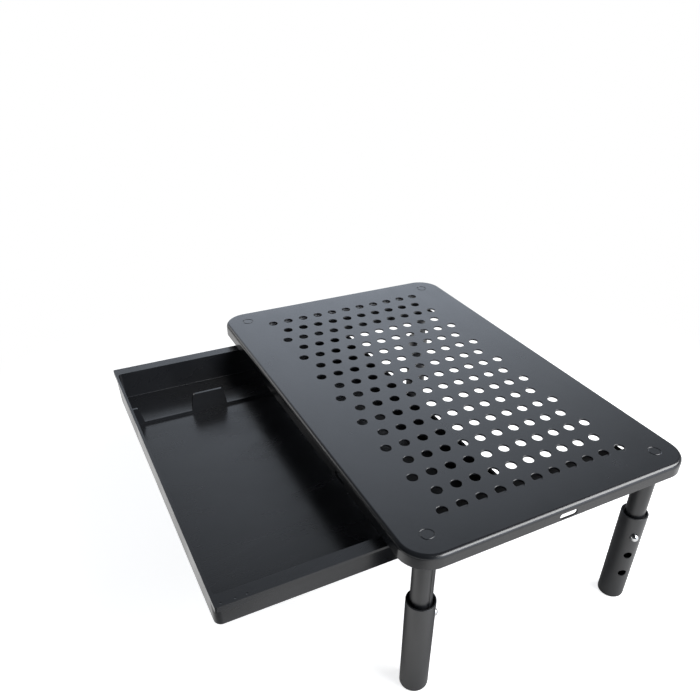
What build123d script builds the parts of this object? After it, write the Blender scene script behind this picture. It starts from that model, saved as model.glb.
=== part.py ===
from build123d import *
import math
import os

os.makedirs("parts", exist_ok=True)

# Millimetres. z = 0 is the top face that carries the laptop, +y is the back and
# +x the right. The stand is at its tallest setting, with the drawer pulled out.

# Pressed steel platform
PLATE_W = 370.0
PLATE_D = 238.0
SHEET = 1.2
TUBE_SIDES = 24
SMALL_SIDES = 8
SKIRT = 10.2
CORNER_R = 22.0
FOLD_R = 3.2
FOLD_STEPS = 3
CORNER_STEPS = 7
CORNER_DROP = 0.6
HOLE_D = 8.0
PITCH_X = 18.8
HALF_PITCH_Y = 7.77
HOLE_MARGIN_X = 30.0
HOLE_MARGIN_Y = 38.0
SLOT_LENGTH = 15.0
SLOT_HEIGHT = 4.4
SLOT_DEPTH = 6.6
SLOT_X = 84.0

# Telescopic legs
LEG_INSET_X = 20.0
LEG_INSET_Y = 20.9
STAND_HEIGHT = 146.0
INNER_D = 15.5
INNER_WALL = 1.0
OUTER_D = 21.0
OUTER_WALL = 1.2
OUTER_LENGTH = 87.4
BUTTON_BELOW_RIM = 18.0
SETTING_PITCH = 20.0
SETTINGS = 3
TUBE_BELOW_BUTTON = 11.4
GROOVE_WIDTH = 2.6
GROOVE_DEPTH = 0.45
BUSH_RECESS = 2.0
BUSH_LENGTH = 10.0
GLIDE_LENGTH = 6.6
GLIDE_END = 1.4
FOOT_FLANGE = 2.2
FOOT_ROUND = 1.5
FOOT_PLUG = 11.0

# Snap buttons and their springs
BUTTON_D = 6.2
BUTTON_OUT = 3.5
DOME = 2.6
COLLAR_D = 8.4
COLLAR_THICK = 1.2
SPRING_STRIP = 0.5
SPRING_WIDTH = 7.0
SPRING_REACH = 29.0

# Drawer tray
TRAY_L = 218.7
TRAY_H = 26.4
WALL = 2.0
FLOOR = 2.4
DRAFT = 0.8
TRAY_CORNER_R = 5.0
TRAY_EDGE_R = 1.4
INSIDE_EDGE_R = 0.8
TRAY_CORNER_STEPS = 4
EDGE_STEPS = 2
FLANGE_REACH = 8.0
FLANGE_THICK = 2.0
TRAY_BELOW_SKIRT = 4.5
EAR_LENGTH = 23.4
EAR_THICK = 4.0
TRAVEL = 110.0
DIVIDER_FROM_SIDE = 51.0
DIVIDER_THICK = 2.0
STRIP_H = 4.0
TAB_H = 18.0
TAB_BASE = 32.0
TAB_TOP = 26.5
TAB_FROM_END = 66.7
END_TAB_H = 16.5
END_TAB_TOP = 5.7
END_TAB_BASE = 9.7
STOP_LENGTH = 4.0
STOP_HEIGHT = 3.5
STOP_REACH = 4.5

# Rails and keepers
RAIL_GAUGE = 1.2
WELD_FLANGE = 11.5
LIP_REACH = 8.0
KEEPER_THICK = 1.5
KEEPER_REACH = 22.5
KEEPER_GAP = 1.0
RIVET_D = 3.0
RIVET_HEAD_D = 6.0
RIVET_HEAD = 1.4
RIVET_SPACING = 70.0

# Clearances
FIT = 0.05
BUTTON_FIT = 0.08
GLIDE_FIT = 0.08
SPRING_GAP = 0.12
OUTER_HOLE_GAP = 0.25
RUN_GAP = 0.3
RAIL_SIDE_GAP = 1.5
RAIL_LEG_GAP = 1.8

# Where each leg stands, which way its button faces and where its groove is
LEGS = {
    "fl": (-1, -1, 128.0, -68.0),
    "fr": (1, -1, 88.0, 9.5),
    "bl": (-1, 1, -106.0, 20.0),
    "br": (1, 1, -26.0, 120.0),
}

# Derived places
leg_x = PLATE_W / 2 - LEG_INSET_X
leg_y = PLATE_D / 2 - LEG_INSET_Y
inner_r = INNER_D / 2
inner_bore = inner_r - INNER_WALL
outer_r = OUTER_D / 2
outer_bore = outer_r - OUTER_WALL
inner_flat = inner_bore * math.cos(math.pi / TUBE_SIDES)
rim_z = OUTER_LENGTH - STAND_HEIGHT
button_z = rim_z - BUTTON_BELOW_RIM
inner_end_z = button_z - TUBE_BELOW_BUTTON
collar_out = math.sqrt(inner_flat ** 2 - (COLLAR_D / 2) ** 2) - SPRING_GAP

web_out = leg_x - outer_r - RAIL_LEG_GAP
web_in = web_out - RAIL_GAUGE
flange_w = 2 * (web_in - RAIL_SIDE_GAP)
tray_w = flange_w - 2 * FLANGE_REACH
divider_x = DIVIDER_FROM_SIDE - tray_w / 2
tray_top = -(SKIRT + TRAY_BELOW_SKIRT)
floor_top = tray_top - TRAY_H + FLOOR
front_closed = -(PLATE_D / 2 - RUN_GAP)
rear_closed = front_closed + TRAY_L

lip_top = tray_top - FLANGE_THICK - RUN_GAP
rail_end = -(front_closed + EAR_LENGTH + RUN_GAP)
weld_end = leg_y - outer_r - 3.5
keeper_low = tray_top + KEEPER_GAP
rivet_z = (keeper_low + KEEPER_THICK - SHEET) / 2


def save(name, shape):
    shape.label = name
    export_step(shape, "parts/" + name + ".step")


def radial(x, y, z, angle):
    """Plane at a leg's axis whose z axis points out towards the given angle."""
    a = math.radians(angle)
    out = (math.cos(a), math.sin(a), 0)
    return Plane(origin=(x, y, z), x_dir=(0, 0, 1), z_dir=out)


def box(x0, x1, y0, y1, z0, z1):
    centre = Pos((x0 + x1) / 2, (y0 + y1) / 2, (z0 + z1) / 2)
    return centre * Box(abs(x1 - x0), abs(y1 - y0), abs(z1 - z0))


def rod(diameter, low, high, sides):
    """Upright round piece drawn with flats, its corners on the stated circle."""
    face = RegularPolygon(diameter / 2, sides)
    return Pos(0, 0, low) * extrude(face, amount=high - low)


def flats(diameter, sides):
    """Corner circle of a drawn hole whose flats clear a rod of this diameter."""
    return diameter / math.cos(math.pi / sides)


def outline(width, depth, radius, count):
    """Rectangle whose round corners are drawn in flats that touch the arc."""
    reach = radius / math.cos(math.pi / 4 / count)
    points = []
    for corner, (sx, sy) in enumerate(((1, 1), (-1, 1), (-1, -1), (1, -1))):
        for k in range(count):
            a = math.pi / 2 * (corner + (k + 0.5) / count)
            x = sx * (width / 2 - radius) + reach * math.cos(a)
            y = sy * (depth / 2 - radius) + reach * math.sin(a)
            points.append((x, y))
    return make_face(Polyline(points, close=True))


def round_over(radius, steps):
    """Heights and insets of a rounded edge drawn in flats."""
    turns = [math.pi / 2 * k / steps for k in range(1, steps + 1)]
    return [(radius * math.sin(t), radius * (1 - math.cos(t))) for t in turns]


def stack(width, depth, radius, count, levels):
    """Closed block through outlines at (height, inset) levels."""
    block = None
    for (z0, in0), (z1, in1) in zip(levels, levels[1:]):
        face = outline(width - 2 * in0, depth - 2 * in0, radius - in0, count)
        lean = math.degrees(math.atan2(in1 - in0, abs(z1 - z0)))
        layer = Pos(0, 0, z0) * extrude(face, amount=z1 - z0, taper=lean)
        block = layer if block is None else block + layer
    return block


# Platform

def folded_block(width, depth, corner, fold, top, bottom):
    levels = [(bottom, 0), (top - fold, 0)]
    levels += [(top - fold + z, inset) for z, inset in round_over(fold, FOLD_STEPS)]
    return stack(width, depth, corner, CORNER_STEPS, levels)


def skirt_trim(half_span, along_y):
    """Wedge that cuts the skirt level between its deeper corners."""
    low = -(SKIRT + CORNER_DROP + 1)
    spread = half_span + 2 * (CORNER_DROP + 1)
    points = [(-half_span, -SKIRT), (half_span, -SKIRT), (spread, low), (-spread, low)]
    face = Plane.XZ * make_face(Polyline(points, close=True))
    wedge = extrude(face, amount=PLATE_W, both=True)
    return Rot(0, 0, 90) * wedge if along_y else wedge


def plate_holes():
    """Staggered holes, flat sided but with a round hole's area."""
    columns = int((PLATE_W / 2 - HOLE_MARGIN_X) / PITCH_X)
    rows = int((PLATE_D / 2 - HOLE_MARGIN_Y) / HALF_PITCH_Y)
    spots = [
        (i * PITCH_X, j * HALF_PITCH_Y)
        for i in range(-columns, columns + 1)
        for j in range(-rows, rows + 1)
        if (i + j + columns + rows) % 2 == 0
    ]
    turn = 2 * math.pi / SMALL_SIDES
    corner_r = HOLE_D / 2 * math.sqrt(turn / math.sin(turn))
    one = RegularPolygon(corner_r, SMALL_SIDES, rotation=180 / SMALL_SIDES)
    return [Pos(x, y) * one for x, y in spots]


def slot_face():
    """Oblong slot whose round ends are drawn in three flats."""
    r = SLOT_HEIGHT / 2
    reach = SLOT_LENGTH / 2 - r
    turns = [math.radians(a) for a in (-90, -30, 30, 90)]
    right = [(reach + r * math.cos(t), r * math.sin(t)) for t in turns]
    left = [(-x, -y) for x, y in right]
    return make_face(Polyline(right + left, close=True))


def platform():
    depth = SKIRT + CORNER_DROP
    shell = folded_block(PLATE_W, PLATE_D, CORNER_R, FOLD_R, 0, -depth)
    shell -= folded_block(
        PLATE_W - 2 * SHEET, PLATE_D - 2 * SHEET, CORNER_R - SHEET,
        FOLD_R - SHEET, -SHEET, -depth - 1,
    )
    shell -= skirt_trim(PLATE_W / 2 - CORNER_R, False)
    shell -= skirt_trim(PLATE_D / 2 - CORNER_R, True)
    holes = Sketch() + plate_holes()
    shell -= extrude(Pos(0, 0, 1) * holes, amount=-SHEET - 2)
    slot = slot_face()
    front = Plane(origin=(0, 0, -SLOT_DEPTH), x_dir=(1, 0, 0), z_dir=(0, -1, 0))
    side = Plane(origin=(0, 0, -SLOT_DEPTH), x_dir=(0, 1, 0), z_dir=(1, 0, 0))
    for x in (-SLOT_X, SLOT_X):
        shell -= extrude(front * Pos(x, 0) * slot, amount=PLATE_D, both=True)
    shell -= extrude(side * slot, amount=PLATE_W, both=True)
    return shell


# Rails, keepers and rivets

rivet_hole = rod(RIVET_D + 2 * FIT, -4, 4, SMALL_SIDES)


def rail(side):
    lip_in = web_out - RAIL_GAUGE - LIP_REACH
    lip_low = lip_top - RAIL_GAUGE
    web = box(web_in, web_out, -rail_end, rail_end, lip_low, -SHEET)
    lip = box(lip_in, web_out, -rail_end, rail_end, lip_low, lip_top)
    weld = box(
        web_in, web_in + WELD_FLANGE, -weld_end, weld_end, -SHEET - RAIL_GAUGE, -SHEET
    )
    stop_y = rear_closed - TRAVEL - STOP_LENGTH - RUN_GAP
    tab = box(
        tray_w / 2 + 2, web_in - 1, stop_y - RAIL_GAUGE, stop_y,
        lip_low - STOP_HEIGHT, lip_low,
    )
    shape = web + lip + weld + tab
    for y in (-RIVET_SPACING, 0, RIVET_SPACING):
        shape -= Pos(web_in, y, rivet_z) * Rot(0, 90, 0) * rivet_hole
    return shape if side > 0 else mirror(shape, Plane.YZ)


def keeper(side):
    inner = web_in - KEEPER_REACH
    top = keeper_low + KEEPER_THICK
    strip = box(inner, web_in, -rail_end + 2, rail_end - 2, keeper_low, top)
    wall = box(
        web_in - KEEPER_THICK, web_in, -rail_end + 2, rail_end - 2, top, -SHEET - 2
    )
    shape = strip + wall
    for y in (-RIVET_SPACING, 0, RIVET_SPACING):
        shape -= Pos(web_in, y, rivet_z) * Rot(0, 90, 0) * rivet_hole
    return shape if side > 0 else mirror(shape, Plane.YZ)


def rivet():
    """One rivet along +x, with its head outside the rail's web."""
    grip = RAIL_GAUGE + KEEPER_THICK
    clinch = RIVET_HEAD_D * 0.75
    shape = rod(RIVET_D, -RIVET_HEAD / 2, grip + RIVET_HEAD / 2, SMALL_SIDES)
    shape += rod(clinch, -RIVET_HEAD / 2, 0, SMALL_SIDES)
    head = RegularPolygon(RIVET_HEAD_D / 2, SMALL_SIDES)
    shape += Pos(0, 0, grip) * extrude(head, amount=RIVET_HEAD, taper=40)
    return Rot(0, 90, 0) * shape


def rivets():
    start = web_in - KEEPER_THICK
    one = rivet()
    right = [
        Pos(start, y, rivet_z) * one for y in (-RIVET_SPACING, 0, RIVET_SPACING)
    ]
    left = [mirror(r, Plane.YZ) for r in right]
    return Compound(children=right + left)


# Legs, built on their own axis and then moved into place

def tube(outer, wall, low, high):
    bore = rod(outer - 2 * wall, low, high, TUBE_SIDES)
    return rod(outer, low, high, TUBE_SIDES) - bore


def button_hole(diameter, z, angle):
    hole = rod(flats(diameter, SMALL_SIDES), 0, 2 * outer_r, SMALL_SIDES)
    return radial(0, 0, z, angle) * hole


def inner_tube(button_angle, groove_angle):
    shape = tube(INNER_D, INNER_WALL, inner_end_z, -SHEET)
    a = math.radians(groove_angle)
    cut = Box(2 * GROOVE_DEPTH, GROOVE_WIDTH, STAND_HEIGHT * 2)
    spot = Pos(inner_r * math.cos(a), inner_r * math.sin(a))
    shape -= spot * Rot(0, 0, groove_angle) * cut
    return shape - button_hole(BUTTON_D + 2 * BUTTON_FIT, button_z, button_angle)


def glide():
    top = inner_end_z + GLIDE_LENGTH
    across = 2 * (outer_bore - GLIDE_FIT)
    sleeve = rod(across, inner_end_z - GLIDE_END, top, TUBE_SIDES // 2)
    return sleeve - rod(INNER_D, inner_end_z, top, TUBE_SIDES)


def outer_tube(button_angle):
    shape = tube(OUTER_D, OUTER_WALL, FOOT_FLANGE - STAND_HEIGHT, rim_z)
    for n in range(SETTINGS):
        z = button_z - n * SETTING_PITCH
        shape -= button_hole(BUTTON_D + 2 * OUTER_HOLE_GAP, z, button_angle)
    return shape


def guide_bush():
    top = rim_z - BUSH_RECESS
    low = top - BUSH_LENGTH
    sides = TUBE_SIDES // 2
    sleeve = rod(2 * outer_bore, low, top, sides)
    return sleeve - rod(flats(INNER_D + 2 * FIT, sides), low, top, sides)


def foot_cap():
    top = FOOT_FLANGE - STAND_HEIGHT
    shoulder = FOOT_ROUND - STAND_HEIGHT
    sole = RegularPolygon(outer_r, TUBE_SIDES)
    shape = rod(OUTER_D, shoulder, top, TUBE_SIDES)
    shape += Pos(0, 0, shoulder) * extrude(sole, amount=-FOOT_ROUND, taper=35)
    return shape + rod(2 * outer_bore, top, top + FOOT_PLUG, TUBE_SIDES // 2)


def snap_button(angle):
    """Headed pin with a domed tip, drawn in two tapers."""
    sides = TUBE_SIDES // 2
    start = outer_r + BUTTON_OUT - DOME
    shoulder = DOME * 0.6
    shape = rod(BUTTON_D, collar_out, start, sides)
    shape += rod(COLLAR_D, collar_out - COLLAR_THICK, collar_out, sides)
    lower = RegularPolygon(BUTTON_D / 2, sides)
    shape += Pos(0, 0, start) * extrude(lower, amount=shoulder, taper=22)
    inset = shoulder * math.tan(math.radians(22)) / math.cos(math.pi / sides)
    upper = RegularPolygon(BUTTON_D / 2 - inset, sides)
    shape += Pos(0, 0, start + shoulder) * extrude(upper, amount=DOME - shoulder, taper=52)
    return radial(0, 0, button_z, angle) * shape


def leaf_spring(angle):
    """Bent strip: one arm behind the button, the other against the far wall."""
    half = SPRING_STRIP / 2
    near = collar_out - COLLAR_THICK - half - FIT
    far = -math.sqrt(inner_flat ** 2 - (SPRING_WIDTH / 2) ** 2) + half + FIT
    bend = button_z + SPRING_REACH
    path = Polyline(
        (near, button_z - 4.5),
        (near, button_z + 4.5),
        (1.4, bend - 4),
        (-0.6, bend - 0.6),
        (-3.4, bend - 0.6),
        (far, bend - 4),
        (far, button_z - COLLAR_D),
    )
    a = math.radians(angle)
    plane = Plane(
        origin=(0, 0, 0),
        x_dir=(math.cos(a), math.sin(a), 0),
        z_dir=(math.sin(a), -math.cos(a), 0),
    )
    strip = trace(path, line_width=SPRING_STRIP)
    return extrude(plane * strip, amount=SPRING_WIDTH / 2, both=True)


# Drawer tray, built closed and then pulled out

def tray_block(wall, low, edge):
    """Tapered block with a rounded bottom edge, set in by a wall's thickness."""
    slope = DRAFT / TRAY_H
    levels = [(tray_top, 0), (low + edge, (tray_top - low - edge) * slope)]
    start = levels[-1][1]
    steps = round_over(edge, EDGE_STEPS)
    levels += [(low + edge - z, start + inset) for z, inset in steps]
    width, length = tray_w - 2 * wall, TRAY_L - 2 * wall
    block = stack(width, length, TRAY_CORNER_R - wall, TRAY_CORNER_STEPS, levels)
    return Pos(0, (front_closed + rear_closed) / 2, 0) * block


def divider():
    front = front_closed + WALL
    back = rear_closed - WALL
    base = floor_top - FLOOR / 2
    first = front_closed + TAB_FROM_END
    last = rear_closed - TAB_FROM_END
    points = [(front - 1, base), (front - 1, floor_top + END_TAB_H)]
    points += [(front + END_TAB_TOP, floor_top + END_TAB_H)]
    points += [(front + END_TAB_BASE, floor_top + STRIP_H)]
    for mid in (first, last):
        points += [(mid - TAB_BASE / 2, floor_top + STRIP_H)]
        points += [(mid - TAB_TOP / 2, floor_top + TAB_H)]
        points += [(mid + TAB_TOP / 2, floor_top + TAB_H)]
        points += [(mid + TAB_BASE / 2, floor_top + STRIP_H)]
    points += [(back - END_TAB_BASE, floor_top + STRIP_H)]
    points += [(back - END_TAB_TOP, floor_top + END_TAB_H)]
    points += [(back + 1, floor_top + END_TAB_H), (back + 1, base)]
    face = Plane.YZ * make_face(Polyline(points, close=True))
    plate = extrude(face, amount=DIVIDER_THICK / 2, both=True)
    tops = plate.edges().filter_by(Axis.X).group_by(Axis.Z)[-2:]
    corners = [e for group in tops for e in group]
    inner = [e for e in corners if front < e.center().Y < back]
    return Pos(divider_x, 0, 0) * fillet(inner, 2.0)


def drawer_tray():
    block = tray_block(0, tray_top - TRAY_H, TRAY_EDGE_R)
    half = flange_w / 2
    flange_low = tray_top - FLANGE_THICK
    body = block + box(-half, half, front_closed, rear_closed, flange_low, tray_top)
    ear_end = front_closed + EAR_LENGTH
    body += box(-half, half, front_closed, ear_end, tray_top - EAR_THICK, tray_top)
    stop_top = lip_top - RAIL_GAUGE - RUN_GAP
    stop = tray_w / 2 + STOP_REACH
    body += box(
        -stop, stop, rear_closed - STOP_LENGTH, rear_closed,
        stop_top - STOP_HEIGHT, stop_top,
    )
    body -= tray_block(WALL, floor_top, INSIDE_EDGE_R)
    return body + (divider() & block)


save("platform", platform())
for name, side in (("left", -1), ("right", 1)):
    save("rail_" + name, rail(side))
    save("keeper_" + name, keeper(side))
save("keeper_rivets", rivets())

for name, (sx, sy, button_angle, groove_angle) in LEGS.items():
    spot = Pos(sx * leg_x, sy * leg_y)
    save("inner_tube_" + name, spot * inner_tube(button_angle, groove_angle))
    save("glide_" + name, spot * glide())
    save("leaf_spring_" + name, spot * leaf_spring(button_angle))
    save("snap_button_" + name, spot * snap_button(button_angle))
    save("outer_tube_" + name, spot * outer_tube(button_angle))
    save("guide_bush_" + name, spot * guide_bush())
    save("foot_cap_" + name, spot * foot_cap())

save("drawer_tray", Pos(0, -TRAVEL, 0) * drawer_tray())
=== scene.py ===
import math

import bpy
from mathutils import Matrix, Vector


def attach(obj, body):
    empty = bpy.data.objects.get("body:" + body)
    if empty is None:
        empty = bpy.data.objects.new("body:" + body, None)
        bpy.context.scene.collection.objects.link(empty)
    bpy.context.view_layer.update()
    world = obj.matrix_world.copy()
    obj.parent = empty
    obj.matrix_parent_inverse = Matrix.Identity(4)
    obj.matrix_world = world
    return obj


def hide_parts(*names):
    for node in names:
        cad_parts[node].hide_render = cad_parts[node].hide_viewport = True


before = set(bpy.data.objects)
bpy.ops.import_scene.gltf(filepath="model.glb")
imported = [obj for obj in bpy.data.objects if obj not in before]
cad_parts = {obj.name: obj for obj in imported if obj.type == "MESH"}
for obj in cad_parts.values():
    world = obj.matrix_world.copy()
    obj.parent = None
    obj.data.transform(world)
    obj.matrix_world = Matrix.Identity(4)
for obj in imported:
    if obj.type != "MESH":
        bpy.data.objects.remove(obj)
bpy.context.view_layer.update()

# Metres. Z is up with 0 at the platform's top face, +Y is the back, +X the right.
MM = 0.001
# Points this near are in one plane, and points this near are one point.
CLOSE, MERGE = 1e-5, 1e-6

# Platform
PLATE_W, PLATE_D = 0.370, 0.238
SHEET = 0.0012
SKIRT = 0.0102
CORNER_R = 0.022
FOLD_R = 0.0032
CORNER_DROP = 0.0006
HOLE_R = 0.004
PITCH_X, HALF_PITCH_Y = 0.0188, 0.00777
COLUMNS, ROWS = 8, 10
SLOT_LENGTH, SLOT_HEIGHT, SLOT_DEPTH = 0.015, 0.0044, 0.0066
SLOT_X = 0.084
CORNER_NICK = 0.8 * MM
THROUGH_SKIRT = 3 * MM
# The weld rings are pressed with a thin ring-shaped tool that dips into the top.
RING_R, RING_TOOL_R, RING_TOOL_Z = 4.6 * MM, 0.75 * MM, 0.42 * MM

# Rails, keepers and rivets: how wide their edges are eased
RAIL_EASE, KEEPER_EASE = 0.35 * MM, 0.3 * MM

# Legs
LEG_X, LEG_Y = 0.165, 0.0981
FLOOR_Z = -0.146
INNER_R = 0.00775
OUTER_R = 0.0105
OUTER_BORE = 0.0093
RIM_Z = -0.0586
BUTTON_Z = -0.0766
TUBE_END_Z = -0.088
SETTING_PITCH = 0.020
SETTING_HOLE_R, DRILL_LENGTH = 3.35 * MM, 8 * MM
GROOVE_DEPTH, GROOVE_HALF, GROOVE_EASE = 0.6 * MM, 1.2 * MM, 0.35 * MM
RIM_EASE, TUBE_EASE = 0.35 * MM, 0.22 * MM
FOOT_HEIGHT, FOOT_PLUG_TOP, FOOT_ROUND = 2.2 * MM, 13.2 * MM, 1.5 * MM
FOOT_HOLLOW_R, FOOT_HOLLOW = 4 * MM, 0.35 * MM
DIMPLE_R, DIMPLE_HEIGHT, DIMPLE_OUT = 1.35 * MM, 6.4 * MM, 1 * MM
BUTTON_R, BUTTON_OUT, DOME_RISE, TIP_R = 3.1 * MM, 3.5 * MM, 2.6 * MM, 0.15 * MM
COLLAR_R, COLLAR_IN, COLLAR_OUT = 4.2 * MM, 3.75 * MM, 4.95 * MM
ROUND_SIDES = 64

# Drawer
TRAY_W, TRAY_L, TRAY_H = 0.284, 0.2187, 0.0264
TRAY_TOP = -0.0147
TRAY_FRONT = -0.2287
TRAY_BACK = -0.0100
WALL, TRAY_FLOOR, DRAFT = 0.002, 0.0024, 0.0008
TRAY_CORNER, TRAY_EDGE, HOLLOW_EDGE, DRAWER_EASE = 5 * MM, 1.4 * MM, 0.8 * MM, 0.28 * MM
FLANGE_W, FLANGE_THICK, FLANGE_CORNER = 0.300, 0.002, 1.2 * MM
FLANGE_PLAY, RAIL_SHEET = 0.3 * MM, 1.2 * MM
EAR_LENGTH, EAR_THICK = 0.0234, 0.004
DIVIDER_X = -0.091
DIVIDER_HALF = 1 * MM
STRIP_HEIGHT = 2.4 * MM
TAB_BASE, TAB_TOP, TAB_HEIGHT, TAB_FROM_END = 32 * MM, 26.5 * MM, 18 * MM, 66.7 * MM
END_TAB_BASE, END_TAB_TOP, END_TAB_HEIGHT = 9.7 * MM, 5.7 * MM, 16.5 * MM
TAB_CORNER, END_TAB_CORNER, INTO_WALL = 2.4 * MM, 1.6 * MM, 1.2 * MM
STOP_REACH, STOP_HEIGHT, STOP_THICK = 4.5 * MM, 3.5 * MM, 4 * MM
LINE_Y, LINE_WIDTH, LINE_DEPTH, LINE_PAST_WALL = 13.4 * MM, 0.3 * MM, 0.2 * MM, 1.5 * MM
# The sink marks are touched with a small ball, from above.
SINK_X, SINK_Y = 147.3 * MM, (4.3 * MM, 12.9 * MM, 20.0 * MM)
SINK_R, SINK_RISE = 1.6 * MM, 1.35 * MM

# Each leg: side, front or back, then the angles of its button, groove and dimple, in
# degrees from +X.
LEGS = {
    "fl": (-1, -1, 128.0, -68.0, -71.5),
    "fr": (1, -1, 88.0, 4.0, -88.0),
    "bl": (-1, 1, -106.0, 20.0, 60.0),
    "br": (1, 1, -26.0, 120.0, 170.0),
}


# Workbench: ways to shape a piece

def alone(piece):
    bpy.ops.object.select_all(action="DESELECT")
    piece.select_set(True)
    bpy.context.view_layer.objects.active = piece


def start(name):
    piece = bpy.context.object
    piece.name = name
    piece.data.name = name
    return piece


def settle(piece):
    alone(piece)
    bpy.ops.object.transform_apply(location=True, rotation=True, scale=True)
    return piece


def block(name, low, high):
    """A box between two corners."""
    bpy.ops.object.select_all(action="DESELECT")
    middle = [(a + b) / 2 for a, b in zip(low, high)]
    bpy.ops.mesh.primitive_cube_add(size=1, location=middle)
    piece = start(name)
    piece.scale = [b - a for a, b in zip(low, high)]
    return settle(piece)


def open_edit(piece, kind):
    alone(piece)
    bpy.ops.object.mode_set(mode="EDIT")
    bpy.ops.mesh.select_mode(type=kind)
    bpy.ops.mesh.select_all(action="DESELECT")
    bpy.ops.object.mode_set(mode="OBJECT")


def pick_points(piece, test):
    open_edit(piece, "VERT")
    for v in piece.data.vertices:
        v.select = test(v.co)
    bpy.ops.object.mode_set(mode="EDIT")


def pick_edges(piece, test):
    open_edit(piece, "EDGE")
    spots = piece.data.vertices
    for e in piece.data.edges:
        e.select = test(spots[e.vertices[0]].co, spots[e.vertices[1]].co)
    bpy.ops.object.mode_set(mode="EDIT")


def pick_faces(piece, test):
    open_edit(piece, "FACE")
    for f in piece.data.polygons:
        f.select = test(f.center, f.normal)
    bpy.ops.object.mode_set(mode="EDIT")


def close_edit():
    bpy.ops.object.mode_set(mode="OBJECT")


def bevel(width, steps):
    bpy.ops.mesh.bevel(offset=width, segments=steps, profile=0.5, affect="EDGES")


def upright(a, b):
    return abs(a.z - b.z) > CLOSE and (a.xy - b.xy).length < 0.3 * abs(a.z - b.z)


def score(piece, spot, way):
    """Cuts an edge right round the piece, on a plane."""
    alone(piece)
    bpy.ops.object.mode_set(mode="EDIT")
    bpy.ops.mesh.select_all(action="SELECT")
    bpy.ops.mesh.bisect(plane_co=spot, plane_no=way)
    bpy.ops.object.mode_set(mode="OBJECT")


def faces_out(piece):
    alone(piece)
    bpy.ops.object.mode_set(mode="EDIT")
    bpy.ops.mesh.select_all(action="SELECT")
    bpy.ops.mesh.remove_doubles(threshold=MERGE)
    bpy.ops.mesh.normals_make_consistent(inside=False)
    bpy.ops.object.mode_set(mode="OBJECT")


def apply_to(piece, kind, **settings):
    alone(piece)
    step = piece.modifiers.new("step", kind)
    for key, value in settings.items():
        setattr(step, key, value)
    bpy.ops.object.modifier_apply(modifier=step.name)


def joined(pieces, name):
    alone(pieces[0])
    for p in pieces:
        p.select_set(True)
    bpy.ops.object.join()
    return start(name)


def combine(piece, tool, how="DIFFERENCE"):
    apply_to(piece, "BOOLEAN", operation=how, object=tool, solver="EXACT")
    bpy.data.objects.remove(tool)


def smooth(piece, angle=32):
    """Smooth shading that leaves the flats flat."""
    alone(piece)
    bpy.ops.object.shade_smooth_by_angle(angle=math.radians(angle))
    apply_to(piece, "WEIGHTED_NORMAL", mode="FACE_AREA", weight=100, keep_sharp=True)


def copy_of(piece, name, shift=(0, 0, 0), turn=0.0):
    twin = piece.copy()
    twin.data = piece.data.copy()
    bpy.context.collection.objects.link(twin)
    twin.name = name
    twin.data.name = name
    twin.rotation_euler = (0, 0, turn)
    twin.location = shift
    return settle(twin)


def turned(name, rings, sides=48):
    """Round piece about Z: a disc pushed and scaled through (radius, height) rings."""
    bpy.ops.object.select_all(action="DESELECT")
    radius, height = rings[0]
    bpy.ops.mesh.primitive_circle_add(
        vertices=sides, radius=radius, fill_type="NGON", location=(0, 0, height)
    )
    piece = start(name)
    settle(piece)
    bpy.ops.object.mode_set(mode="EDIT")
    bpy.ops.mesh.select_mode(type="FACE")
    bpy.ops.mesh.select_all(action="SELECT")
    for next_radius, next_height in rings[1:]:
        rise = (0, 0, next_height - height)
        bpy.ops.mesh.extrude_region_move(TRANSFORM_OT_translate={"value": rise})
        grow = next_radius / radius
        bpy.ops.transform.resize(
            value=(grow, grow, 1), center_override=(0, 0, next_height)
        )
        radius, height = next_radius, next_height
    bpy.ops.object.mode_set(mode="OBJECT")
    faces_out(piece)
    return piece


def carried(piece, body, finish, slot, *nodes):
    """Gives a finished piece its body and material, and hides its CAD nodes; the record slot is
    not used.
    """
    piece.data.materials.clear()
    piece.data.materials.append(finish)
    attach(piece, body)
    if nodes:
        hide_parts(*nodes)
    return piece


# Camera, at the photograph's angle: lens and optical centre in the photograph's pixels
PHOTO, SENSOR = 700.0, 36.0
FOCAL, CENTRE_X, CENTRE_Y = 672.184, 381.231, 430.109

bpy.ops.object.select_all(action="DESELECT")
bpy.ops.object.camera_add(
    location=(0.414298, -0.275386, 0.287167), rotation=(0.965326, -0.031199, 1.074576)
)
camera = bpy.context.object
camera.name = "camera"
camera.data.sensor_width = SENSOR
camera.data.lens = FOCAL * SENSOR / PHOTO
camera.data.shift_x = (PHOTO / 2 - CENTRE_X) / PHOTO
camera.data.shift_y = (CENTRE_Y - PHOTO / 2) / PHOTO
camera.data.clip_start = 0.01
bpy.context.scene.camera = camera


# Finishes

def new_finish(name):
    finish = bpy.data.materials.new(name)
    finish.use_nodes = True
    tree = finish.node_tree
    tree.nodes.clear()
    out = tree.nodes.new("ShaderNodeOutputMaterial")
    shader = tree.nodes.new("ShaderNodeBsdfPrincipled")
    tree.links.new(shader.outputs["BSDF"], out.inputs["Surface"])
    place = tree.nodes.new("ShaderNodeTexCoord")
    return finish, tree, shader, place.outputs["Object"]


def stretch(tree, spot, scale, turn=(0, 0, 0), shift=(0, 0, 0)):
    node = tree.nodes.new("ShaderNodeMapping")
    node.inputs["Scale"].default_value = scale
    node.inputs["Rotation"].default_value = turn
    node.inputs["Location"].default_value = shift
    tree.links.new(spot, node.inputs["Vector"])
    return node.outputs["Vector"]


def noise(tree, spot, scale, detail=3.0, rough=0.5, twist=0.0):
    node = tree.nodes.new("ShaderNodeTexNoise")
    node.inputs["Scale"].default_value = scale
    node.inputs["Detail"].default_value = detail
    node.inputs["Roughness"].default_value = rough
    node.inputs["Distortion"].default_value = twist
    tree.links.new(spot, node.inputs["Vector"])
    return node.outputs["Fac"]


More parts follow.
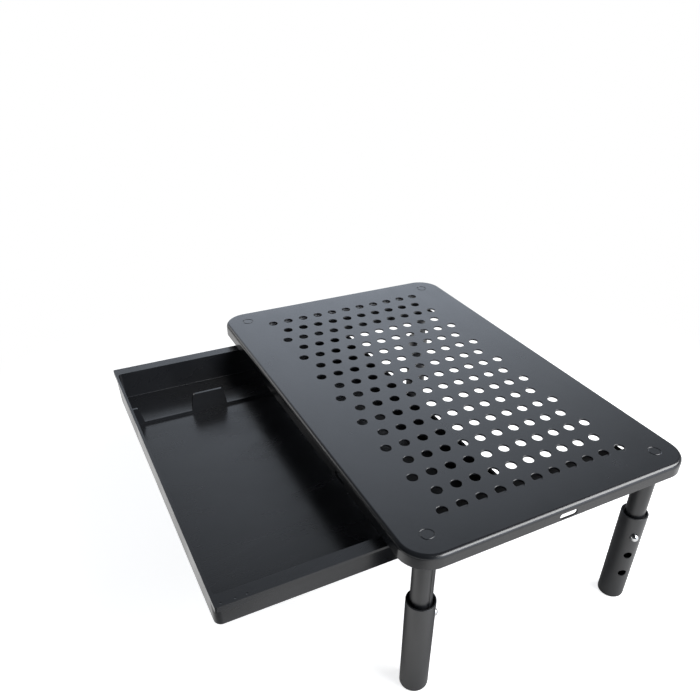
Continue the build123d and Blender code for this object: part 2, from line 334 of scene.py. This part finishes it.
def cells(tree, spot, scale):
    node = tree.nodes.new("ShaderNodeTexVoronoi")
    node.feature = "SMOOTH_F1"
    node.inputs["Scale"].default_value = scale
    tree.links.new(spot, node.inputs["Vector"])
    return node.outputs["Distance"]


def spread(tree, value, low, high, to_low, to_high):
    node = tree.nodes.new("ShaderNodeMapRange")
    node.inputs["From Min"].default_value = low
    node.inputs["From Max"].default_value = high
    if isinstance(to_low, (int, float)):
        node.inputs["To Min"].default_value = to_low
    else:
        tree.links.new(to_low, node.inputs["To Min"])
    node.inputs["To Max"].default_value = to_high
    tree.links.new(value, node.inputs["Value"])
    return node.outputs["Result"]


def sums(tree, how, a, b):
    node = tree.nodes.new("ShaderNodeMath")
    node.operation = how
    for socket, value in zip(node.inputs, (a, b)):
        if isinstance(value, (int, float)):
            socket.default_value = value
        else:
            tree.links.new(value, socket)
    return node.outputs["Value"]


def weighed(tree, first, first_share, second, second_share):
    first_part = sums(tree, "MULTIPLY", first, first_share)
    second_part = sums(tree, "MULTIPLY", second, second_share)
    return sums(tree, "ADD", first_part, second_part)


def tones(tree, value, stops):
    node = tree.nodes.new("ShaderNodeValToRGB")
    ramp = node.color_ramp
    while len(ramp.elements) < len(stops):
        ramp.elements.new(0.5)
    for element, (at, colour) in zip(ramp.elements, stops):
        element.position = at
        element.color = (*colour, 1.0)
    tree.links.new(value, node.inputs["Fac"])
    return node.outputs["Color"]


def blend_tones(tree, amount, first, second):
    """Mixes two colours, whose sockets are 6 and 7 on the node, and 2 going out."""
    node = tree.nodes.new("ShaderNodeMix")
    node.data_type = "RGBA"
    tree.links.new(amount, node.inputs["Factor"])
    for socket, value in ((node.inputs[6], first), (node.inputs[7], second)):
        if isinstance(value, tuple):
            socket.default_value = (*value, 1.0)
        else:
            tree.links.new(value, socket)
    return node.outputs[2]


def relief(tree, height, depth, strength, under=None):
    node = tree.nodes.new("ShaderNodeBump")
    node.inputs["Strength"].default_value = strength
    node.inputs["Distance"].default_value = depth
    tree.links.new(height, node.inputs["Height"])
    if under is not None:
        tree.links.new(under, node.inputs["Normal"])
    return node.outputs["Normal"]


def edge_highlight_mask(tree, reach=0.0006, low=0.80, high=0.985):
    """1 on edges and corners, 0 on the flats and soft curves: the mask of the painted edge
    highlight.
    """
    eased_normal = tree.nodes.new("ShaderNodeBevel")
    eased_normal.samples = 4
    eased_normal.inputs["Radius"].default_value = reach
    shape = tree.nodes.new("ShaderNodeNewGeometry")
    agree = tree.nodes.new("ShaderNodeVectorMath")
    agree.operation = "DOT_PRODUCT"
    tree.links.new(eased_normal.outputs["Normal"], agree.inputs[0])
    tree.links.new(shape.outputs["Normal"], agree.inputs[1])
    return spread(tree, agree.outputs["Value"], high, low, 0.0, 1.0)


def powder_coat(name, dark, pale, edge_highlight_tone, rough_low, rough_high, gloss):
    """Satin powder coat: fine pebbled skin, faint clouds, and a painted highlight that lightens
    the edges.
    """
    finish, tree, shader, spot = new_finish(name)
    clouds = noise(tree, spot, 26.0, 4.0, 0.6)
    specks = noise(tree, spot, 1500.0, 2.0, 0.6)
    mixed = weighed(tree, clouds, 0.75, specks, 0.25)
    colour = tones(tree, mixed, [(0.34, dark), (0.66, pale)])
    # Painted highlight: the edges are lightened, in patches, toward the edge highlight tone.
    patchy = noise(tree, spot, 340.0, 3.0, 0.7)
    painted_edge_highlight = sums(tree, "MULTIPLY", edge_highlight_mask(tree), patchy)
    colour = blend_tones(tree, painted_edge_highlight, colour, edge_highlight_tone)
    tree.links.new(colour, shader.inputs["Base Color"])
    wiped = stretch(tree, spot, (1.0, 2.2, 1.0), (0, 0, 0.5))
    handled = noise(tree, wiped, 17.0, 5.0, 0.65, 0.6)
    roughness = spread(tree, handled, 0.3, 0.7, rough_low, rough_high)
    tree.links.new(roughness, shader.inputs["Roughness"])
    pebbles = cells(tree, spot, 1500.0)
    ripple = noise(tree, spot, 240.0, 2.0, 0.5)
    normal = relief(tree, ripple, 0.00016, 0.12)
    normal = relief(tree, pebbles, 0.00004, 0.30, normal)
    tree.links.new(normal, shader.inputs["Normal"])
    shader.inputs["Specular IOR Level"].default_value = gloss
    return finish


def moulded(name, dark, pale, flow, rough_low, rough_high, grain):
    """Moulded plastic: flow marks drawn out along the fill, a fine satin grain."""
    finish, tree, shader, spot = new_finish(name)
    run = stretch(tree, spot, (1.0, 0.35, 1.0), (0, 0, 0.35))
    marks = noise(tree, run, flow, 5.0, 0.62, 1.4)
    colour = tones(tree, marks, [(0.32, dark), (0.68, pale)])
    # Painted highlight: the edges are lightened toward a paler tone.
    painted_edge_highlight = sums(tree, "MULTIPLY", edge_highlight_mask(tree), 0.15)
    colour = blend_tones(tree, painted_edge_highlight, colour, tuple(1.7 * c for c in pale))
    tree.links.new(colour, shader.inputs["Base Color"])
    patches = noise(tree, run, flow * 1.9, 4.0, 0.6, 0.9)
    roughness = spread(tree, patches, 0.3, 0.7, rough_low, rough_high)
    tree.links.new(roughness, shader.inputs["Roughness"])
    fine = noise(tree, spot, grain, 2.0, 0.7)
    slow = noise(tree, run, 42.0, 2.0, 0.5)
    normal = relief(tree, slow, 0.0002, 0.08)
    normal = relief(tree, fine, 0.00003, 0.22, normal)
    tree.links.new(normal, shader.inputs["Normal"])
    return finish


def bright_metal(name, colour, shade, rough_low, rough_high, lines, depth):
    """Metal with polishing or rolling lines and faint smudges."""
    finish, tree, shader, spot = new_finish(name)
    drawn = stretch(tree, spot, (1.0, 1.0, 0.06))
    lay = noise(tree, drawn, lines, 3.0, 0.6)
    smudge = noise(tree, spot, 320.0, 4.0, 0.6)
    tone = tones(tree, smudge, [(0.3, shade), (0.62, colour)])
    tree.links.new(tone, shader.inputs["Base Color"])
    both = weighed(tree, lay, 0.4, smudge, 0.6)
    roughness = spread(tree, both, 0.3, 0.7, rough_low, rough_high)
    tree.links.new(roughness, shader.inputs["Roughness"])
    tree.links.new(relief(tree, lay, depth, 0.25), shader.inputs["Normal"])
    shader.inputs["Metallic"].default_value = 1.0
    return finish


# The third colour of each coat is the tone of its painted edge highlight.
plate_coat = powder_coat(
    "satin_black_coat", (0.0085, 0.0094, 0.0116), (0.0128, 0.0140, 0.0172),
    (0.045, 0.047, 0.052), 0.20, 0.28, 0.80,
)
tube_coat = powder_coat(
    "dark_grey_tube_coat", (0.0125, 0.0133, 0.0155), (0.0195, 0.0207, 0.0238),
    (0.06, 0.06, 0.064), 0.27, 0.36, 0.85,
)
foot_finish = moulded(
    "dark_grey_foot", (0.0125, 0.0133, 0.0155), (0.0195, 0.0207, 0.0238),
    60.0, 0.30, 0.42, 2200.0,
)
tray_finish = moulded(
    "charcoal_tray", (0.012, 0.0128, 0.0150), (0.020, 0.0212, 0.0244), 14.0, 0.20, 0.32, 2600.0
)
black_finish = moulded(
    "black_plastic", (0.010, 0.010, 0.011), (0.018, 0.018, 0.019), 70.0, 0.42, 0.55, 2400.0
)
chrome_finish = bright_metal(
    "button_chrome", (0.86, 0.86, 0.86), (0.70, 0.71, 0.72), 0.06, 0.16, 900.0, 0.000004
)
spring_finish = bright_metal(
    "spring_steel", (0.42, 0.42, 0.41), (0.26, 0.26, 0.25), 0.28, 0.42, 1600.0, 0.00001
)
zinc_finish = bright_metal(
    "dark_zinc", (0.16, 0.16, 0.165), (0.08, 0.08, 0.085), 0.32, 0.50, 1200.0, 0.00001
)

NODE_FINISH = {
    "glide": black_finish,
    "guide_bush": black_finish,
    "leaf_spring": spring_finish,
}
for node_name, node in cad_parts.items():
    for stem, finish in NODE_FINISH.items():
        if node_name.startswith(stem):
            for place in node.material_slots:
                place.material = finish


# Platform

def hole_spots():
    for i in range(-COLUMNS, COLUMNS + 1):
        for j in range(-ROWS, ROWS + 1):
            if (i + j) % 2 == 0:
                yield i * PITCH_X, j * HALF_PITCH_Y


def corner_turn(v):
    """Angle round the nearest corner's centre, 0 to 90, or None off the corner."""
    dx = abs(v.x) - (PLATE_W / 2 - CORNER_R)
    dy = abs(v.y) - (PLATE_D / 2 - CORNER_R)
    if dx < -CLOSE or dy < -CLOSE:
        return None
    return math.degrees(math.atan2(max(dy, 0), max(dx, 0)))


def press_corners(piece, low, high, depth):
    """Moves the skirt's lower rim between two corner angles."""
    def wanted(v):
        turn = corner_turn(v)
        return v.z < -SKIRT + 2 * MM and turn is not None and low < turn < high

    pick_points(piece, wanted)
    bpy.ops.transform.translate(value=(0, 0, depth))
    close_edit()


def build_platform():
    piece = block(
        "platform_top", (-PLATE_W / 2, -PLATE_D / 2, -SKIRT), (PLATE_W / 2, PLATE_D / 2, 0)
    )
    pick_edges(piece, upright)
    bevel(CORNER_R, 12)
    close_edit()
    pick_edges(piece, lambda a, b: a.z > -MERGE and b.z > -MERGE)
    bevel(FOLD_R, 6)
    close_edit()
    pick_faces(piece, lambda c, n: n.z < -0.9)
    bpy.ops.mesh.delete(type="ONLY_FACE")
    close_edit()
    for i in range(-COLUMNS - 1, COLUMNS + 1):
        score(piece, ((i + 0.5) * PITCH_X, 0, 0), (1, 0, 0))
    for j in range(-ROWS, ROWS + 1):
        score(piece, (0, j * HALF_PITCH_Y, 0), (0, 1, 0))
    for side in (-1, 1):
        score(piece, (side * LEG_X, 0, 0), (1, 0, 0))
        score(piece, (0, side * LEG_Y, 0), (0, 1, 0))
    press_corners(piece, 3, 87, -0.5 * CORNER_DROP)
    press_corners(piece, 18, 80, -0.5 * CORNER_DROP)
    press_corners(piece, 34, 41, CORNER_NICK)
    apply_to(piece, "SOLIDIFY", thickness=SHEET, offset=-1.0, use_even_offset=True)
    faces_out(piece)

    # The punch swells where it enters and leaves, which eases the hole's edges.
    punch = turned(
        "punch",
        [(HOLE_R + 0.25 * MM, -2.4 * MM), (HOLE_R + 0.05 * MM, -SHEET + 0.1 * MM),
         (HOLE_R, -0.45 * MM), (HOLE_R + 0.12 * MM, -0.16 * MM),
         (HOLE_R + 0.34 * MM, 0), (HOLE_R + 0.8 * MM, 0.4 * MM)],
        sides=24,
    )
    tools = [copy_of(punch, "punch_copy", (x, y, 0)) for x, y in hole_spots()]
    bpy.data.objects.remove(punch)
    for sx in (-1, 1):
        for sy in (-1, 1):
            bpy.ops.object.select_all(action="DESELECT")
            bpy.ops.mesh.primitive_torus_add(
                major_radius=RING_R, minor_radius=RING_TOOL_R, major_segments=48,
                minor_segments=16, location=(sx * LEG_X, sy * LEG_Y, RING_TOOL_Z),
            )
            tools.append(settle(start("weld_ring")))
    combine(piece, joined(tools, "punches"))

    def slot_tool(name, centre, along_y):
        half = (THROUGH_SKIRT, SLOT_LENGTH / 2)
        if not along_y:
            half = half[::-1]
        low = (centre[0] - half[0], centre[1] - half[1], -SLOT_DEPTH - SLOT_HEIGHT / 2)
        high = (centre[0] + half[0], centre[1] + half[1], -SLOT_DEPTH + SLOT_HEIGHT / 2)
        tool = block(name, low, high)
        axis = 0 if along_y else 1
        pick_edges(tool, lambda a, b: abs(a[axis] - b[axis]) > 1 * MM)
        bevel(SLOT_HEIGHT / 2 - 0.01 * MM, 6)
        close_edit()
        return tool

    slots = []
    for sx in (-1, 1):
        slots.append(slot_tool("slot", (sx * PLATE_W / 2, 0), True))
        for sy in (-1, 1):
            slots.append(slot_tool("slot", (sx * SLOT_X, sy * PLATE_D / 2), False))
    combine(piece, joined(slots, "slots"))
    smooth(piece, 28)
    return carried(piece, "stand", plate_coat, "painted_steel", "platform")


# Sheet and strip pieces taken from the solids, with eased edges

def eased(node_name, name, width, finish, slot):
    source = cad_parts[node_name]
    piece = source.copy()
    piece.data = source.data.copy()
    bpy.context.collection.objects.link(piece)
    piece.parent = None
    piece.name = name
    piece.hide_set(False)
    piece.hide_render = False
    alone(piece)
    bpy.ops.object.mode_set(mode="EDIT")
    bpy.ops.mesh.select_all(action="SELECT")
    bpy.ops.mesh.remove_doubles(threshold=MERGE)
    bpy.ops.mesh.dissolve_limited(angle_limit=math.radians(1.0))
    bpy.ops.object.mode_set(mode="OBJECT")
    apply_to(
        piece, "BEVEL", width=width, segments=2, limit_method="ANGLE",
        angle_limit=math.radians(50), harden_normals=False,
    )
    smooth(piece, 40)
    return carried(piece, "stand", finish, slot, node_name)


# Legs

def build_leg(name, sx, sy, button_angle, groove_angle, dimple_angle):
    centre = (sx * LEG_X, sy * LEG_Y, 0)

    inner = turned(
        "inner", [(INNER_R, TUBE_END_Z), (INNER_R, -SHEET)], sides=ROUND_SIDES
    )
    groove = block(
        "groove", (INNER_R - GROOVE_DEPTH, -GROOVE_HALF, -0.1),
        (INNER_R + 2 * MM, GROOVE_HALF, 0.01),
    )
    pick_edges(groove, lambda a, b: upright(a, b) and a.x < INNER_R)
    bevel(GROOVE_EASE, 3)
    close_edit()
    turned_groove = copy_of(groove, "groove_tool", turn=math.radians(groove_angle))
    bpy.data.objects.remove(groove)
    combine(inner, turned_groove)
    piece = copy_of(inner, "inner_tube_" + name + "_round", centre)
    bpy.data.objects.remove(inner)
    smooth(piece, 24)
    carried(piece, "stand", tube_coat, "painted_tube", "inner_tube_" + name)

    foot = turned(
        "foot",
        [(FOOT_HOLLOW_R, FLOOR_Z + FOOT_HOLLOW), (FOOT_HOLLOW_R + 1 * MM, FLOOR_Z)]
        + [(OUTER_R - FOOT_ROUND + FOOT_ROUND * math.sin(a),
            FLOOR_Z + FOOT_ROUND * (1 - math.cos(a)))
           for a in (math.pi / 2 * k / 6 for k in range(7))]
        + [(OUTER_R, FLOOR_Z + FOOT_HEIGHT), (OUTER_BORE, FLOOR_Z + FOOT_HEIGHT),
           (OUTER_BORE, FLOOR_Z + FOOT_PLUG_TOP)],
        sides=ROUND_SIDES,
    )
    piece = copy_of(foot, "foot_cap_" + name + "_round", centre)
    bpy.data.objects.remove(foot)
    smooth(piece, 35)
    carried(piece, "leg_" + name, foot_finish, "foot_plastic", "foot_cap_" + name)

    low = FLOOR_Z + FOOT_HEIGHT
    quarter = [math.pi / 2 * k / 3 for k in range(4)]
    rings = [(OUTER_R, low)]
    rings += [(OUTER_R - RIM_EASE * (1 - math.cos(a)), RIM_Z - RIM_EASE * (1 - math.sin(a)))
              for a in quarter]
    rings += [(OUTER_BORE + RIM_EASE * (1 - math.sin(a)), RIM_Z - RIM_EASE * (1 - math.cos(a)))
              for a in quarter]
    rings += [(OUTER_BORE, low + 0.2 * MM)]
    outer = turned("outer", rings, sides=ROUND_SIDES)
    drills = []
    for n in range(3):
        bpy.ops.object.select_all(action="DESELECT")
        bpy.ops.mesh.primitive_cylinder_add(
            vertices=32, radius=SETTING_HOLE_R, depth=DRILL_LENGTH,
            location=(OUTER_R + 1 * MM, 0, BUTTON_Z - n * SETTING_PITCH),
            rotation=(0, math.pi / 2, 0),
        )
        drills.append(settle(start("drill")))
    tool = joined(drills, "drills")
    turned_tool = copy_of(tool, "drills_turned", turn=math.radians(button_angle))
    bpy.data.objects.remove(tool)
    combine(outer, turned_tool)
    a = math.radians(dimple_angle)
    bpy.ops.object.select_all(action="DESELECT")
    reach = OUTER_R + DIMPLE_OUT
    bpy.ops.mesh.primitive_uv_sphere_add(
        segments=20, ring_count=12, radius=DIMPLE_R,
        location=(reach * math.cos(a), reach * math.sin(a), FLOOR_Z + DIMPLE_HEIGHT),
    )
    combine(outer, settle(start("dimple")))
    apply_to(
        outer, "BEVEL", width=TUBE_EASE, segments=2, limit_method="ANGLE",
        angle_limit=math.radians(55), harden_normals=False,
    )
    piece = copy_of(outer, "outer_tube_" + name + "_round", centre)
    bpy.data.objects.remove(outer)
    smooth(piece, 30)
    carried(piece, "leg_" + name, tube_coat, "painted_tube", "outer_tube_" + name)

    tip = OUTER_R + BUTTON_OUT
    dome = [(BUTTON_R * math.cos(a), tip - DOME_RISE + DOME_RISE * math.sin(a))
            for a in (math.radians(8 * k) for k in range(11))]
    button = turned(
        "button",
        [(COLLAR_R, COLLAR_IN), (COLLAR_R, COLLAR_OUT), (BUTTON_R, COLLAR_OUT)] + dome
        + [(TIP_R, tip)],
        sides=40,
    )
    button.rotation_euler = (0, math.pi / 2, 0)
    settle(button)
    a = math.radians(button_angle)
    piece = copy_of(
        button, "snap_button_" + name + "_domed", (centre[0], centre[1], BUTTON_Z), a
    )
    bpy.data.objects.remove(button)
    smooth(piece, 35)
    carried(piece, "button_" + name, chrome_finish, "chrome", "snap_button_" + name)


# Drawer

def tapered_block(name, inset, low, high, corner, edge):
    half_w = TRAY_W / 2 - inset
    piece = block(
        name, (-half_w, TRAY_FRONT + inset, low), (half_w, TRAY_BACK - inset, high)
    )
    slope = DRAFT / TRAY_H
    shrink = slope * (high - low)
    length = TRAY_L - 2 * inset
    middle = (0, (TRAY_FRONT + TRAY_BACK) / 2, low)
    pick_faces(piece, lambda c, n: n.z < -0.9)
    bpy.ops.transform.resize(
        value=(1 - shrink / half_w, 1 - 2 * shrink / length, 1), center_override=middle
    )
    close_edit()
    pick_edges(piece, upright)
    bevel(corner, 7)
    close_edit()
    pick_edges(piece, lambda a, b: max(a.z, b.z) < low + MERGE)
    bevel(edge, 5)
    close_edit()
    faces_out(piece)
    return piece


def tab(name, y, base, top, height, floor):
    """Divider tab: a slab narrowed upwards, with rounded top corners."""
    piece = block(
        name, (DIVIDER_X - DIVIDER_HALF, y - base / 2, floor - 1 * MM),
        (DIVIDER_X + DIVIDER_HALF, y + base / 2, floor + height),
    )
    pick_faces(piece, lambda c, n: n.z > 0.9)
    middle = (DIVIDER_X, y, floor + height)
    bpy.ops.transform.resize(value=(1, top / base, 1), center_override=middle)
    close_edit()
    pick_edges(
        piece,
        lambda a, b: min(a.z, b.z) > floor + height - CLOSE and abs(a.x - b.x) > CLOSE,
    )
    bevel(TAB_CORNER, 5)
    close_edit()
    return piece


def build_tray():
    floor = TRAY_TOP - TRAY_H + TRAY_FLOOR
    body = tapered_block(
        "drawer_shell", 0, TRAY_TOP - TRAY_H, TRAY_TOP, TRAY_CORNER, TRAY_EDGE
    )
    half = FLANGE_W / 2
    flange = block(
        "flange", (-half, TRAY_FRONT, TRAY_TOP - FLANGE_THICK), (half, TRAY_BACK, TRAY_TOP)
    )
    pick_edges(flange, upright)
    bevel(FLANGE_CORNER, 3)
    close_edit()
    combine(body, flange, "UNION")
    ears = block(
        "ears", (-half, TRAY_FRONT, TRAY_TOP - EAR_THICK),
        (half, TRAY_FRONT + EAR_LENGTH, TRAY_TOP),
    )
    pick_edges(ears, lambda a, b: upright(a, b) and a.y < TRAY_FRONT + 1 * MM)
    bevel(FLANGE_CORNER, 3)
    close_edit()
    combine(body, ears, "UNION")
    stop_top = TRAY_TOP - FLANGE_THICK - FLANGE_PLAY - RAIL_SHEET - FLANGE_PLAY
    stop = block(
        "stop", (-TRAY_W / 2 - STOP_REACH, TRAY_BACK - STOP_THICK, stop_top - STOP_HEIGHT),
        (TRAY_W / 2 + STOP_REACH, TRAY_BACK, stop_top),
    )
    combine(body, stop, "UNION")
    hollow = tapered_block(
        "hollow", WALL, floor, TRAY_TOP + 1 * MM, TRAY_CORNER - WALL, HOLLOW_EDGE
    )
    combine(body, hollow)

    strip = block(
        "strip", (DIVIDER_X - DIVIDER_HALF, TRAY_FRONT + INTO_WALL, floor - 1 * MM),
        (DIVIDER_X + DIVIDER_HALF, TRAY_BACK - INTO_WALL, floor + STRIP_HEIGHT),
    )
    for y in (TRAY_FRONT + TAB_FROM_END, TRAY_BACK - TAB_FROM_END):
        combine(strip, tab("tab", y, TAB_BASE, TAB_TOP, TAB_HEIGHT, floor), "UNION")
    for end, way in ((TRAY_FRONT, 1), (TRAY_BACK, -1)):
        near = end + way * INTO_WALL
        base = end + way * (WALL + END_TAB_BASE)
        top = end + way * (WALL + END_TAB_TOP)
        low_y, high_y = sorted((near, base))
        piece = block(
            "end_tab", (DIVIDER_X - DIVIDER_HALF, low_y, floor - 1 * MM),
            (DIVIDER_X + DIVIDER_HALF, high_y, floor + END_TAB_HEIGHT),
        )
        pick_points(
            piece, lambda v: v.z > floor + 10 * MM and abs(v.y - base) < CLOSE
        )
        bpy.ops.transform.translate(value=(0, top - base, 0))
        close_edit()
        pick_edges(
            piece,
            lambda a, b: min(a.z, b.z) > floor + 10 * MM and abs(a.x - b.x) > CLOSE
            and abs(a.y - top) < CLOSE,
        )
        bevel(END_TAB_CORNER, 4)
        close_edit()
        combine(strip, piece, "UNION")
    combine(body, strip, "UNION")
    line = block(
        "line", (-half - 1 * MM, TRAY_FRONT + LINE_Y, TRAY_TOP - LINE_DEPTH),
        (-TRAY_W / 2 + LINE_PAST_WALL, TRAY_FRONT + LINE_Y + LINE_WIDTH, TRAY_TOP + 1 * MM),
    )
    combine(body, line)
    marks = []
    for side in (-1, 1):
        for back in SINK_Y:
            bpy.ops.object.select_all(action="DESELECT")
            bpy.ops.mesh.primitive_uv_sphere_add(
                segments=16, ring_count=10, radius=SINK_R,
                location=(side * SINK_X, TRAY_FRONT + back, TRAY_TOP + SINK_RISE),
            )
            marks.append(settle(start("sink_mark")))
    combine(body, joined(marks, "sink_marks"))
    apply_to(
        body, "BEVEL", width=DRAWER_EASE, segments=2, limit_method="ANGLE",
        angle_limit=math.radians(48), harden_normals=False,
    )
    smooth(body, 34)
    return carried(body, "drawer", tray_finish, "drawer_plastic", "drawer_tray")


build_platform()
for side in ("left", "right"):
    eased("rail_" + side, "rail_" + side + "_bent", RAIL_EASE, plate_coat, "painted_steel")
    eased(
        "keeper_" + side, "keeper_" + side + "_strip", KEEPER_EASE, black_finish, "black_plastic"
    )
eased("keeper_rivets", "keeper_rivets_domed", KEEPER_EASE, zinc_finish, "zinc_steel")
for name, values in LEGS.items():
    build_leg(name, *values)
build_tray()


# Floor and light

# The room is dim, with large pale walls low at the back left and at the right.
LEFT_WALL = (-0.8864, 0.3947, 0.2419)
RIGHT_WALL = (0.8529, 0.4924, 0.1736)
WALL_EDGE, WALL_MIDDLE = 0.68, 0.98
ROOM_LEVEL, WALL_LEVEL = 0.07, 1.65
ROOM_TONE, WALL_TONE, PLAIN = (0.88, 0.94, 1.0), (0.79, 0.87, 1.0), (1.0, 1.0, 1.0)

# The floor: how bright it is, and where it starts to fade to white and ends, in metres from the
# stand's middle. Reflections see the near floor in a darker tone, a painted shade, and a painted
# shadow patch in front, which is measured from its own spot.
FLOOR_TONE, MIRROR_SHADE_TONE, FLOOR_GLOW = (0.86, 0.86, 0.86), (0.22, 0.22, 0.22), 0.80
MIDDLE, SEEN_FADE, MIRROR_FADE = (0, 0), (0.30, 0.60), (0.21, 0.30)
SHADOW_PATCH_SPOT, SHADOW_PATCH_FADE = (0.36, -0.45), (0.24, 0.36)
GROUND_SIZE = 12
LAMP_AIM = (0, 0, -0.08)


def away_from(tree, spot, centre, fade):
    """0 close to a point of the floor, 1 beyond it."""
    shift = stretch(tree, spot, (1, 1, 1), (0, 0, 0), (-centre[0], -centre[1], 0))
    length = tree.nodes.new("ShaderNodeVectorMath")
    length.operation = "LENGTH"
    tree.links.new(shift, length.inputs[0])
    node = tree.nodes.new("ShaderNodeMapRange")
    node.interpolation_type = "SMOOTHSTEP"
    node.inputs["From Min"].default_value = fade[0]
    node.inputs["From Max"].default_value = fade[1]
    tree.links.new(length.outputs["Value"], node.inputs["Value"])
    return node.outputs["Result"]


# The floor is pale and matt and keeps the shadow. It runs out to plain white, and gloss and
# glass see that white sooner, apart from a painted shadow patch in front. Gloss and glass see
# the near floor darker, a painted shade. From below it is clear, so that the underside shows.
floor_finish = bpy.data.materials.new("pale_floor")
floor_finish.use_nodes = True
tree = floor_finish.node_tree
tree.nodes.clear()
path = tree.nodes.new("ShaderNodeLightPath")
camera_ray = path.outputs["Is Camera Ray"]
glossy_ray = path.outputs["Is Glossy Ray"]
mirror_ray = sums(tree, "MAXIMUM", glossy_ray, path.outputs["Is Transmission Ray"])
spot = tree.nodes.new("ShaderNodeTexCoord").outputs["Object"]
seen_white = sums(tree, "MULTIPLY", away_from(tree, spot, MIDDLE, SEEN_FADE), camera_ray)
# Painted shadow: a patch of floor in front stays dark in reflections.
mirror_white = sums(
    tree, "MULTIPLY", away_from(tree, spot, MIDDLE, MIRROR_FADE),
    away_from(tree, spot, SHADOW_PATCH_SPOT, SHADOW_PATCH_FADE),
)
mirror_white = sums(tree, "MULTIPLY", mirror_white, mirror_ray)
matt = tree.nodes.new("ShaderNodeBsdfDiffuse")
# Painted shade: reflection rays see the floor in the darker tone.
tree.links.new(blend_tones(tree, mirror_ray, FLOOR_TONE, MIRROR_SHADE_TONE), matt.inputs["Color"])
glow = tree.nodes.new("ShaderNodeEmission")
tree.links.new(sums(tree, "MULTIPLY", camera_ray, FLOOR_GLOW), glow.inputs["Strength"])
near = tree.nodes.new("ShaderNodeAddShader")
tree.links.new(matt.outputs[0], near.inputs[0])
tree.links.new(glow.outputs[0], near.inputs[1])
white = tree.nodes.new("ShaderNodeEmission")
whole = tree.nodes.new("ShaderNodeMixShader")
tree.links.new(sums(tree, "MAXIMUM", seen_white, mirror_white), whole.inputs[0])
tree.links.new(near.outputs[0], whole.inputs[1])
tree.links.new(white.outputs[0], whole.inputs[2])
below = tree.nodes.new("ShaderNodeMixShader")
clear = tree.nodes.new("ShaderNodeBsdfTransparent")
tree.links.new(tree.nodes.new("ShaderNodeNewGeometry").outputs["Backfacing"], below.inputs[0])
tree.links.new(whole.outputs[0], below.inputs[1])
tree.links.new(clear.outputs[0], below.inputs[2])
out = tree.nodes.new("ShaderNodeOutputMaterial")
tree.links.new(below.outputs[0], out.inputs["Surface"])

bpy.ops.object.select_all(action="DESELECT")
bpy.ops.mesh.primitive_plane_add(size=GROUND_SIZE, location=(0, 0, FLOOR_Z))
ground = settle(start("floor"))
ground.data.materials.append(floor_finish)

world = bpy.data.worlds.new("studio")
bpy.context.scene.world = world
world.use_nodes = True
tree = world.node_tree
tree.nodes.clear()
spot = tree.nodes.new("ShaderNodeTexCoord")


def pale_wall(way):
    """Brightness of a pale wall, fading out round its middle."""
    toward = tree.nodes.new("ShaderNodeVectorMath")
    toward.operation = "DOT_PRODUCT"
    tree.links.new(spot.outputs["Generated"], toward.inputs[0])
    toward.inputs[1].default_value = way
    facing = spread(tree, toward.outputs["Value"], WALL_EDGE, WALL_MIDDLE, 0.0, 1.0)
    return sums(tree, "POWER", facing, 2.0)


wall = sums(tree, "MAXIMUM", pale_wall(LEFT_WALL), pale_wall(RIGHT_WALL))
camera_only = tree.nodes.new("ShaderNodeLightPath").outputs["Is Camera Ray"]
level = spread(tree, wall, 0.0, 1.0, ROOM_LEVEL, WALL_LEVEL)
wall_tone = blend_tones(tree, wall, ROOM_TONE, WALL_TONE)
tone = blend_tones(tree, camera_only, wall_tone, PLAIN)
back = tree.nodes.new("ShaderNodeBackground")
tree.links.new(tone, back.inputs["Color"])
tree.links.new(spread(tree, camera_only, 0.0, 1.0, level, 1.0), back.inputs["Strength"])
out = tree.nodes.new("ShaderNodeOutputWorld")
tree.links.new(back.outputs[0], out.inputs["Surface"])


def softbox(name, spot, width, height, power):
    bpy.ops.object.select_all(action="DESELECT")
    bpy.ops.object.light_add(type="AREA", location=spot)
    lamp = bpy.context.object
    lamp.name = name
    lamp.data.shape = "RECTANGLE"
    lamp.data.size = width
    lamp.data.size_y = height
    lamp.data.energy = power
    lamp.data.color = PLAIN
    way = Vector(LAMP_AIM) - Vector(spot)
    lamp.rotation_euler = way.to_track_quat("-Z", "Y").to_euler()
    return lamp


softbox("right_softbox", (0.56, 0.56, 0.62), 1.1, 0.5, 13)
softbox("front_left_softbox", (-0.9, -0.6, 0.38), 0.6, 0.4, 1.2)

bpy.context.scene.view_settings.view_transform = "Standard"
